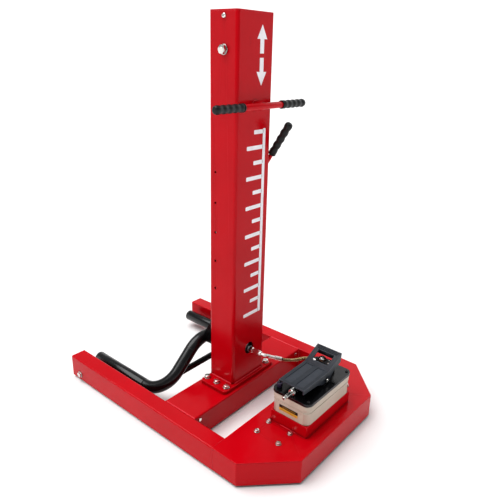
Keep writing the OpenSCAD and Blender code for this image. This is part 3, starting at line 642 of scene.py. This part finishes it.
def make_stop_bolt():
    """Large hexagon bolt across the column, its washer, and the lock nut on the far side."""
    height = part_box("stop_bolt")[0][2] + 0.015
    place = frame_along((-1, 0, 0), (-COLUMN_HALF, COLUMN_MIDDLE_Y, height))
    bm = bmesh.new()
    washer_ring(bm, 0.015, 0.0081, 0.003, place)
    head = place @ Matrix.Translation((0, 0, 0.003)) @ Matrix.Rotation(0.35, 4, "Z")
    hex_head(bm, 0.024, 0.010, head)
    lathe(bm, [(0, 0.0002), (0.0065, 0.0002), (0.0072, -0.0005), (0.0085, 0)],
          head @ Matrix.Translation((0, 0, 0.010)), 32)
    lathe(bm, [(0, 0.004), (0.008, 0.004), (0.008, -0.150), (0, -0.150)], place, 40)
    screw_end(bm, place, 0.008, -0.150, -0.184, 0.002)
    piece = add_object("stop_hex_bolt", finish_mesh("stop_hex_bolt", bm), "base", MATERIALS["zinc"])
    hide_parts("stop_bolt")

    far = frame_along((1, 0, 0), (COLUMN_HALF, COLUMN_MIDDLE_Y, height))
    bm = bmesh.new()
    washer_ring(bm, 0.015, 0.0081, 0.003, far)
    nut(bm, far @ Matrix.Translation((0, 0, 0.003)), 0.024, 0.011, 0.0162)
    collar = [(0.0082, 0.011), (0.0112, 0.011), (0.0112, 0.0138), (0.0102, 0.0155), (0.0082, 0.0155)]
    lathe(bm, collar, far, 40)
    piece = add_object("stop_lock_nut", finish_mesh("stop_lock_nut", bm), "base", MATERIALS["zinc"])
    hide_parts("stop_bolt_nut")


def button_screw(bm, place, radius, height, socket):
    """Domed screw head with a round socket recess; its shank is drawn where the screw is used."""
    hollow = socket * 0.55
    profile = [(0.0, height - 0.0022), (hollow, height - 0.0022), (hollow, height), (socket * 0.8, height)]
    for i in range(1, 8):
        angle = math.radians(90 * i / 7)
        profile.append((socket * 0.8 + (radius - socket * 0.8) * math.sin(angle), height * math.cos(angle)))
    profile += [(radius, -0.0002), (0, -0.0002)]
    lathe(bm, profile, place, 36)


def make_cap_screws():
    height = 1.303
    bm = bmesh.new()
    for side in (-1, 1):
        place = frame_along((side, 0, 0), (side * COLUMN_HALF, COLUMN_MIDDLE_Y, height))
        button_screw(bm, place, 0.0075, 0.0048, 0.005)
        lathe(bm, [(0, 0), (0.004, 0), (0.004, -0.014), (0, -0.014)], place, 24)
    piece = add_object("cap_button_screws", finish_mesh("cap_button_screws", bm), "base",
                       MATERIALS["zinc"])
    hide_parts("cap_screws")


make_base_plate_bolts()
make_caster_bolts()
make_roller_axles()
make_stop_bolt()
make_cap_screws()


# ---- Hydraulic pipe ----


def make_port_fitting():
    """Hexagon, sleeve, bent pipe and crimped ferrule from the ram's port to the hose."""
    turn, dip = math.radians(42), math.radians(20)
    bend, straight, ferrule = 0.024, 0.034, 0.024
    start = Vector((PORT[0], -0.156, PORT[1]))
    out = frame_along((0, -1, 0), (PORT[0], COLUMN_FRONT - 0.001, PORT[1]))
    bm = bmesh.new()
    hex_head(bm, 0.019, 0.012, out)
    length = COLUMN_FRONT - 0.001 - start.y
    sleeve = [(0, 0.010), (0.0078, 0.010), (0.0078, 0.0135), (0.0068, 0.014), (0.0068, 0.022),
              (0.0082, 0.0225), (0.009, 0.0235), (0.009, length - 0.008), (0.0082, length - 0.007),
              (0.0082, length - 0.002), (0.0068, length), (0, length)]
    lathe(bm, sleeve, out, 40)
    hex_head(bm, 0.0175, 0.010, out @ Matrix.Translation((0, 0, 0.028)), ("top", "bottom"))
    across = Vector((math.cos(dip), 0, -math.sin(dip)))
    path = [start + Vector((0, 0.004, 0))]
    steps = 14
    for i in range(steps + 1):
        angle = turn * i / steps
        path.append(start + across * bend * (1 - math.cos(angle)) + Vector((0, -bend * math.sin(angle), 0)))
    way = (across * math.sin(turn) + Vector((0, -math.cos(turn), 0))).normalized()
    bend_end = path[-1]
    path.append(bend_end + way * straight)
    sweep(bm, path, 0.0055, sides=28)
    along = frame_along(way, bend_end)
    hex_head(bm, 0.0135, 0.009, along @ Matrix.Translation((0, 0, 0.001)), ("top", "bottom"))
    lathe(bm, [(0.0055, 0.0105), (0.0064, 0.0108), (0.0064, 0.0145), (0.0055, 0.015)], along, 32)
    crimps = [(0, straight - 0.001), (0.0066, straight - 0.001), (0.0075, straight)]
    for i in range(4):
        z = straight + 0.003 + 0.005 * i
        crimps += [(0.0075, z), (0.0067, z + 0.0006), (0.0067, z + 0.0022), (0.0075, z + 0.0028)]
    end = straight + ferrule
    crimps += [(0.0075, end - 0.001), (0.0068, end), (0.0051, end)]
    lathe(bm, crimps, along, 40)
    piece = add_object("port_pipe", finish_mesh("port_pipe", bm), "base", MATERIALS["polished_zinc"])
    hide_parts("port_fitting")


def make_outlet_fitting():
    """Hexagon and crimped sleeve at the pump's end of the hose."""
    place = frame_along((0, 1, 0), (0.084, PUMP_Y + 0.027, 0.220))
    bm = bmesh.new()
    hex_head(bm, 0.014, 0.009, place, ("top",))
    profile = [(0, 0.009), (0.0055, 0.009), (0.0055, 0.011), (0.007, 0.012)]
    for i in range(3):
        z = 0.014 + 0.006 * i
        profile += [(0.007, z), (0.0063, z + 0.0006), (0.0063, z + 0.0026), (0.007, z + 0.0032)]
    profile += [(0.007, 0.032), (0.0064, 0.033), (0.0051, 0.033)]
    lathe(bm, profile, place, 36)
    piece = add_object("outlet_hex_fitting", finish_mesh("outlet_hex_fitting", bm), "base",
                       MATERIALS["polished_zinc"])
    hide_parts("outlet_fitting")


make_port_fitting()
make_outlet_fitting()


# ---- Handle grips ----


def ribbed_grip(bm, place, length, bore, radius=0.0113, wave=0.0018, ribs=5):
    """Moulded rubber grip: finger waves, fine ridges, a collar and a domed end."""
    steps = 16 * ribs
    profile = [(bore, 0.0), (radius + 0.0016, 0.0), (radius + 0.0018, 0.0006), (radius + 0.0018, 0.003)]
    for i in range(2, steps):
        z = length * i / steps
        if z > length - 0.008:
            break
        swell = wave / 2 * (1 - math.cos(2 * math.pi * ribs * i / steps))
        ridge = -0.00035 if i % 4 == 0 else 0.0
        profile.append((radius + swell + ridge, z))
    edge = radius + wave * 0.5
    for i in range(1, 9):
        angle = math.radians(90 * i / 8)
        profile.append((edge * (0.45 + 0.55 * math.cos(angle)), length - 0.007 + 0.007 * math.sin(angle)))
    profile += [(0.003, length), (0.0025, length - 0.0008), (0.0, length - 0.0008)]
    lathe(bm, profile, place, 48)


def make_grips():
    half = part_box("push_handle_grips")[1][0]
    length = 0.120
    bm = bmesh.new()
    for side in (-1, 1):
        place = frame_along((side, 0, 0), (side * (half - length), *HANDLE))
        ribbed_grip(bm, place, length, 0.0101)
    piece = add_object("push_bar_ribbed_grips", finish_mesh("push_bar_ribbed_grips", bm, 50), "base",
                       MATERIALS["grip_rubber"])
    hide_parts("push_handle_grips")

    way = Vector((0, -math.sin(LOCK_ANGLE), math.cos(LOCK_ANGLE)))
    bm = bmesh.new()
    ribbed_grip(bm, frame_along(way, LOCK + way * 0.092), 0.124, 0.0071)
    piece = add_object("lock_lever_ribbed_grip", finish_mesh("lock_lever_ribbed_grip", bm, 50), "lock",
                       MATERIALS["grip_rubber"])
    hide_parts("lock_lever_grip")


make_grips()


# ---- Wheels ----


def make_wheel(name, node, body, middle, radius, width, bore):
    """Moulded wheel: rounded tread with two grooves, dished sides, hub and bearing seats."""
    half = width / 2
    place = frame_along((1, 0, 0), middle)
    groove = 0.0008
    outline = [(bore, -half), (radius * 0.42, -half), (radius * 0.46, -half + 0.0015),
               (radius * 0.50, -half + 0.0035), (radius * 0.72, -half + 0.0035),
               (radius * 0.77, -half + 0.001), (radius * 0.90, -half + 0.0003),
               (radius - 0.0018, -half + 0.001),
               (radius - 0.0004, -half + 0.0026), (radius, -half * 0.55), (radius - groove, -half * 0.5),
               (radius - groove, -half * 0.42), (radius, -half * 0.37), (radius, half * 0.37),
               (radius - groove, half * 0.42), (radius - groove, half * 0.5), (radius, half * 0.55)]
    outline += [(r, -z) for r, z in outline[8::-1]]
    outline.append(outline[0])
    bm = bmesh.new()
    lathe(bm, outline, place, 64)
    piece = add_object(name, finish_mesh(name, bm), body, MATERIALS["wheel_plastic"])
    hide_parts(node)
    bm = bmesh.new()
    for side in (-1, 1):
        cover = frame_along((side, 0, 0), Vector(middle) + Vector((side * half, 0, 0)))
        lathe(bm, [(bore, -0.0008), (bore, 0.0), (radius * 0.30, 0.0002), (radius * 0.33, -0.0004),
                   (radius * 0.33, -0.0008), (bore, -0.0008)], cover, 40)
    add_object(name + "_bearing_rings", finish_mesh(name + "_bearing_rings", bm), body,
               MATERIALS["steel"])


def make_wheels():
    leg_middle = HALF_WIDTH - LEG_WIDTH / 2
    for side, word in ((-1, "left"), (1, "right")):
        make_wheel(word + "_turned_roller", word + "_roller", "roller_" + word,
                   (side * leg_middle, ROLLER_Y, 0.030), 0.030, 0.040, 0.0062)
        make_wheel(word + "_moulded_caster_wheel", word + "_caster_wheel", "caster_wheel_" + word,
                   (side * CASTER[0], CASTER[1] + CASTER_TRAIL, 0.026), 0.026, 0.022, 0.0042)


make_wheels()


# ---- Pump ----


def make_valves():
    """Stepped valve block with bright plugs, copper washers and small screws under the window."""
    low, high = 0.026, 0.038
    bm = bmesh.new()
    corners = [((0.025, -0.027, 0.0), (0.090, 0.027, 0.020)), ((0.025, -0.027, 0.020), (0.054, 0.027, low)),
               ((0.054, -0.027, 0.020), (0.082, 0.027, high))]
    for first, second in corners:
        place = Vector((0, PUMP_Y, LID_TOP))
        box_at(bm, place + Vector(first), place + Vector(second))
    edges = [e for e in bm.edges if e.calc_face_angle(0) > math.radians(40)]
    bmesh.ops.bevel(bm, geom=edges, offset=0.0012, segments=3, profile=0.5, affect="EDGES")
    block = add_object("stepped_valve_block", finish_mesh("stepped_valve_block", bm, 40), "base",
                       MATERIALS["dark_screw"])
    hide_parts("valve_block")

    bm = bmesh.new()
    copper = bmesh.new()
    for x, y, across, z in ((0.039, -0.012, 0.019, low), (0.067, 0.010, 0.022, high)):
        place = Matrix.Translation((x, PUMP_Y + y, LID_TOP + z)) @ Matrix.Rotation(0.3, 4, "Z")
        hex_head(bm, across, 0.0062, place @ Matrix.Translation((0, 0, 0.0008)))
        lathe(copper, [(0, 0), (across * 0.62, 0), (across * 0.62, 0.0008), (0, 0.0008)], place, 32)
        r = across / 2 - 0.003
        lathe(bm, [(0, 0.0068), (r, 0.0068), (r, 0.0094), (r - 0.0006, 0.010), (r * 0.45, 0.010),
                   (r * 0.45, 0.0082), (0, 0.0082)], place, 32)
    for x, y, z in ((0.033, 0.017, low), (0.048, 0.019, low), (0.074, -0.015, high), (0.060, -0.019, high)):
        place = Matrix.Translation((x, PUMP_Y + y, LID_TOP + z))
        lathe(bm, [(0, -0.0002), (0.0042, -0.0002), (0.0042, 0.0035), (0.0036, 0.0042), (0.0018, 0.0042),
                   (0.0018, 0.0018), (0, 0.0018)], place, 24)
    add_object("valve_plugs", finish_mesh("valve_plugs", bm), "base", MATERIALS["polished_zinc"])
    add_object("valve_copper_washers", finish_mesh("valve_copper_washers", copper), "base",
               MATERIALS["copper"])


def make_air_inlet():
    """Plug-in air nipple with its hexagon and a knurled collar."""
    place = frame_along((-1, 0, 0), (0, PUMP_Y, 0.223))
    bm = bmesh.new()
    lathe(bm, [(0, 0.084), (0.006, 0.084), (0.006, 0.0965), (0, 0.0965)], place, 32)
    hex_head(bm, 0.017, 0.0115, place @ Matrix.Translation((0, 0, 0.0965)), ("top", "bottom"))
    profile = [(0.0066, 0.108), (0.0066, 0.112), (0.0104, 0.112), (0.011, 0.1127)]
    for i in range(5):
        z = 0.1133 + 0.0012 * i
        profile += [(0.011, z), (0.0105, z + 0.0003), (0.0105, z + 0.0006), (0.011, z + 0.0009)]
    profile += [(0.0104, 0.120), (0.006, 0.120), (0.006, 0.146), (0.0052, 0.1468), (0.0045, 0.1472),
                (0.0045, 0.150), (0.0052, 0.1503), (0.006, 0.152), (0.006, 0.1575), (0.0046, 0.160),
                (0.0028, 0.160), (0.0028, 0.152), (0, 0.152)]
    lathe(bm, profile, place, 40)
    piece = add_object("air_nipple", finish_mesh("air_nipple", bm), "base", MATERIALS["zinc"])
    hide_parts("air_inlet")


def make_filler_plug():
    """Knurled oil filler plug with a sealing ring."""
    place = Matrix.Translation((-0.106, PUMP_Y + 0.055, LID_TOP))
    bm = bmesh.new()
    steps = 72
    rings = []
    for r, z, knurl in ((0.0070, 0.0, 0), (0.0070, 0.003, 0), (0.0086, 0.003, 1), (0.0091, 0.0038, 1),
                        (0.0091, 0.0138, 1), (0.0084, 0.015, 1), (0.0060, 0.015, 0), (0.0052, 0.0142, 0)):
        ring = []
        for i in range(steps):
            angle = 2 * math.pi * i / steps
            turned = r - (0.0006 if knurl and i % 4 < 2 else 0.0)
            ring.append(bm.verts.new(place @ Vector((turned * math.cos(angle), turned * math.sin(angle), z))))
        rings.append(ring)
    for low, high in zip(rings, rings[1:]):
        join_rings(bm, low, high)
    bm.faces.new(rings[0][::-1])
    bm.faces.new(rings[-1])
    piece = add_object("knurled_filler_plug", finish_mesh("knurled_filler_plug", bm), "base",
                       MATERIALS["plug_purple"])
    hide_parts("filler_plug")


def make_label():
    """Plain two-tone plate on the end of the reservoir, with bare stripes and no writing."""
    half, middle_y = 0.0355, PUMP_Y + 0.004
    low, middle, high = 0.1450, 0.1550, 0.1655
    plate, stripe = 0.0006, 0.0008  # how far they stand proud
    fields = (
        ("pump_label_black", "label_black", [(-half, half, middle, high, plate)]),
        ("pump_label_yellow", "label_yellow", [(-half, half, low, middle, plate),
                                               (-0.027, 0.024, 0.1600, 0.1612, stripe)]),
        ("pump_label_rules", "label_black", [(-0.031, 0.031, 0.1478, 0.1485, stripe),
                                             (-0.031, 0.031, 0.1512, 0.1519, stripe)]))
    for name, material, parts in fields:
        bm = bmesh.new()
        for left, right, bottom, top, proud in parts:
            box_at(bm, (PUMP_END - proud, middle_y + left, bottom),
                   (PUMP_END + 0.0010, middle_y + right, top))
        bmesh.ops.bevel(bm, geom=list(bm.edges), offset=0.00015, segments=2, profile=0.5, affect="EDGES")
        add_object(name, finish_mesh(name, bm, 40), "base", MATERIALS[material])


make_valves()
make_air_inlet()
make_filler_plug()
make_label()


# ---- Marks on the column ----


def make_marks():
    """Plain white lift-height scale and an up-and-down arrow, in place of any writing."""
    bm = bmesh.new()
    proud = COLUMN_FRONT - 0.00025

    def plate(points):
        front = [bm.verts.new((x, proud, z)) for x, z in points]
        back = [bm.verts.new((x, COLUMN_FRONT + 0.0002, z)) for x, z in points]
        join_rings(bm, front, back)
        bm.faces.new(front)
        bm.faces.new(back[::-1])

    def bar(x0, x1, z0, z1, r=0.003):
        points = []
        corners = ((x1 - r, z1 - r, 0), (x0 + r, z1 - r, 90), (x0 + r, z0 + r, 180), (x1 - r, z0 + r, 270))
        for cx, cz, start in corners:
            for i in range(4):
                angle = math.radians(start + 30 * i)
                points.append((cx + r * math.cos(angle), cz + r * math.sin(angle)))
        plate(points)

    arrows_x, arrows_z = 0.027, 1.199
    shaft, head, gap, neck, tip = 0.009, 0.023, 0.006, 0.046, 0.086
    for way in (1, -1):
        outline = ((-shaft, gap), (shaft, gap), (shaft, neck), (head, neck), (0, tip), (-head, neck),
                   (-shaft, neck))
        plate([(arrows_x + x, arrows_z + way * z) for x, z in outline])
    bar(0.043, 0.056, 0.345, 0.985)
    for i in range(14):
        z = 0.352 + i * 0.048
        start = -0.033 if i % 2 == 0 else 0.0
        bar(start, 0.045, z - 0.0065, z + 0.0065)
    add_object("column_height_scale", finish_mesh("column_height_scale", bm), "base",
               MATERIALS["white_vinyl"])


make_marks()


# ---- Weld seams ----


def weld(bm, points, radius=0.0028):
    """Rippled weld bead along a line of points."""
    path = []
    for a, b in zip(points, points[1:]):
        a, b = Vector(a), Vector(b)
        steps = max(2, int((b - a).length / 0.0011))
        path += [a.lerp(b, i / steps) for i in range(steps)]
    path.append(Vector(points[-1]))
    last = len(path) - 1

    def thick(i):
        ripple = 0.10 * math.cos(2 * math.pi * i / 4) + 0.05 * math.sin(i * 0.37)
        end = min(1.0, 0.35 + min(i, last - i) * 0.25)
        return radius * end * (1 + ripple)

    sweep(bm, path, thick, sides=8)


def make_welds():
    """Beads where the column, the base frame and the push bar are welded."""
    bm = bmesh.new()
    front, back, half = COLUMN_FRONT, COLUMN_BACK, COLUMN_HALF
    r = 0.009
    z = PLATE_TOP
    for side in (-1, 1):
        weld(bm, [(side * half, front + r, z), (side * half, back - r, z)])
        inner = side * (HALF_WIDTH - LEG_WIDTH)
        top = BASE_TOP - 0.0012
        weld(bm, [(inner, -0.126, top), (inner, 0.016, top)], 0.0022)
        weld(bm, [(inner, -0.1275, 0.012), (inner, -0.1275, 0.084)], 0.0024)
        weld(bm, [(inner, 0.0175, 0.012), (inner, 0.0175, 0.084)], 0.0024)
        for y in (PUMP_Y - 0.0595, PUMP_Y + 0.0595):
            weld(bm, [(side * 0.112, y, BASE_TOP), (side * 0.060, y, BASE_TOP)], 0.002)
        x = side * 0.1255
        weld(bm, [(x, PUMP_Y - 0.030, BASE_TOP), (x, PUMP_Y + 0.030, BASE_TOP)], 0.002)
    weld(bm, [(-half + r, front, z), (half - r, front, z)])
    ring = [(0.0135 * math.cos(a), front - 0.0005, HANDLE[1] + 0.0135 * math.sin(a))
            for a in (2 * math.pi * i / 24 for i in range(25))]
    weld(bm, ring, 0.002)
    add_object("frame_weld_beads", finish_mesh("frame_weld_beads", bm, 60), "base",
               MATERIALS["red_paint"])


make_welds()


# ---- Studio ----


def sky():
    """White studio: bright low down and through tall windows, dimmer between them."""
    world = bpy.data.worlds.new("world")
    world.use_nodes = True
    tree = world.node_tree

    def node(kind, **settings):
        made = tree.nodes.new(kind)
        for name, value in settings.items():
            setattr(made, name, value)
        return made

    def ramp(value, stops):
        made = node("ShaderNodeValToRGB")
        elements = made.color_ramp.elements
        while len(elements) < len(stops):
            elements.new(0.5)
        for element, (position, level) in zip(elements, stops):
            element.position = position
            element.color = (level, level, level, 1)
        tree.links.new(value, made.inputs["Fac"])
        return made.outputs["Color"]

    def combine(operation, a, b):
        made = node("ShaderNodeMath", operation=operation)
        for value, socket in ((a, made.inputs[0]), (b, made.inputs[1])):
            if isinstance(value, float):
                socket.default_value = value
            else:
                tree.links.new(value, socket)
        return made.outputs[0]

    way = node("ShaderNodeSeparateXYZ")
    tree.links.new(node("ShaderNodeTexCoord").outputs["Generated"], way.inputs[0])
    height = way.outputs["Z"]
    turn = combine("ARCTAN2", way.outputs["Y"], way.outputs["X"])
    around = combine("MULTIPLY_ADD", turn, 1 / (2 * math.pi))
    around.node.inputs[2].default_value = 0.5

    def at(degrees):
        return (degrees + 180) / 360

    base = ramp(height, [(0.0, 1.0), (0.13, 1.0), (0.20, 0.30), (0.60, 0.30), (0.85, 0.6)])
    windows = ramp(around, [(at(-40), 0), (at(-15), 0.9), (at(30.5), 0.9), (at(33), 0), (at(35.7), 0),
                            (at(36.2), 0.55), (at(37.8), 0.55), (at(38.3), 0), (at(43.8), 0), (at(44.3), 0.6),
                            (at(49), 0.5), (at(53), 0.12), (at(80), 0.0)])
    band = ramp(height, [(0.12, 0), (0.19, 1), (0.60, 1), (0.68, 0)])
    light = combine("ADD", base, combine("MULTIPLY", windows, band))
    background = tree.nodes["Background"]
    tree.links.new(light, background.inputs["Color"])
    background.inputs["Strength"].default_value = 1.0
    bpy.context.scene.world = world


def make_studio():
    """Pale floor, white surroundings and soft lights above."""
    floor_mesh = bpy.data.meshes.new("floor")
    size = 30
    floor_mesh.from_pydata([(-size, -size, 0), (size, -size, 0), (size, size, 0), (-size, size, 0)], [],
                           [(0, 1, 2, 3)])
    floor = bpy.data.objects.new("floor", floor_mesh)
    bpy.context.scene.collection.objects.link(floor)
    paint = Paint("floor", Roughness=0.9, Specular_IOR_Level=0.1)
    paint.color(paint.ramp(paint.noise(1.5, 2), [(0.3, (0.86, 0.86, 0.86)), (0.7, (0.88, 0.88, 0.88))]))
    floor_mesh.materials.append(paint.material)

    sky()
    sun = bpy.data.lights.new("softbox", "SUN")
    sun.energy = 2.3
    sun.angle = math.radians(55)
    light = bpy.data.objects.new("softbox", sun)
    light.matrix_world = frame_along((-0.30, 0.36, 1.0))
    bpy.context.scene.collection.objects.link(light)
    settings = bpy.context.scene.view_settings
    settings.view_transform = "Standard"
    settings.look = "Medium High Contrast"


make_studio()
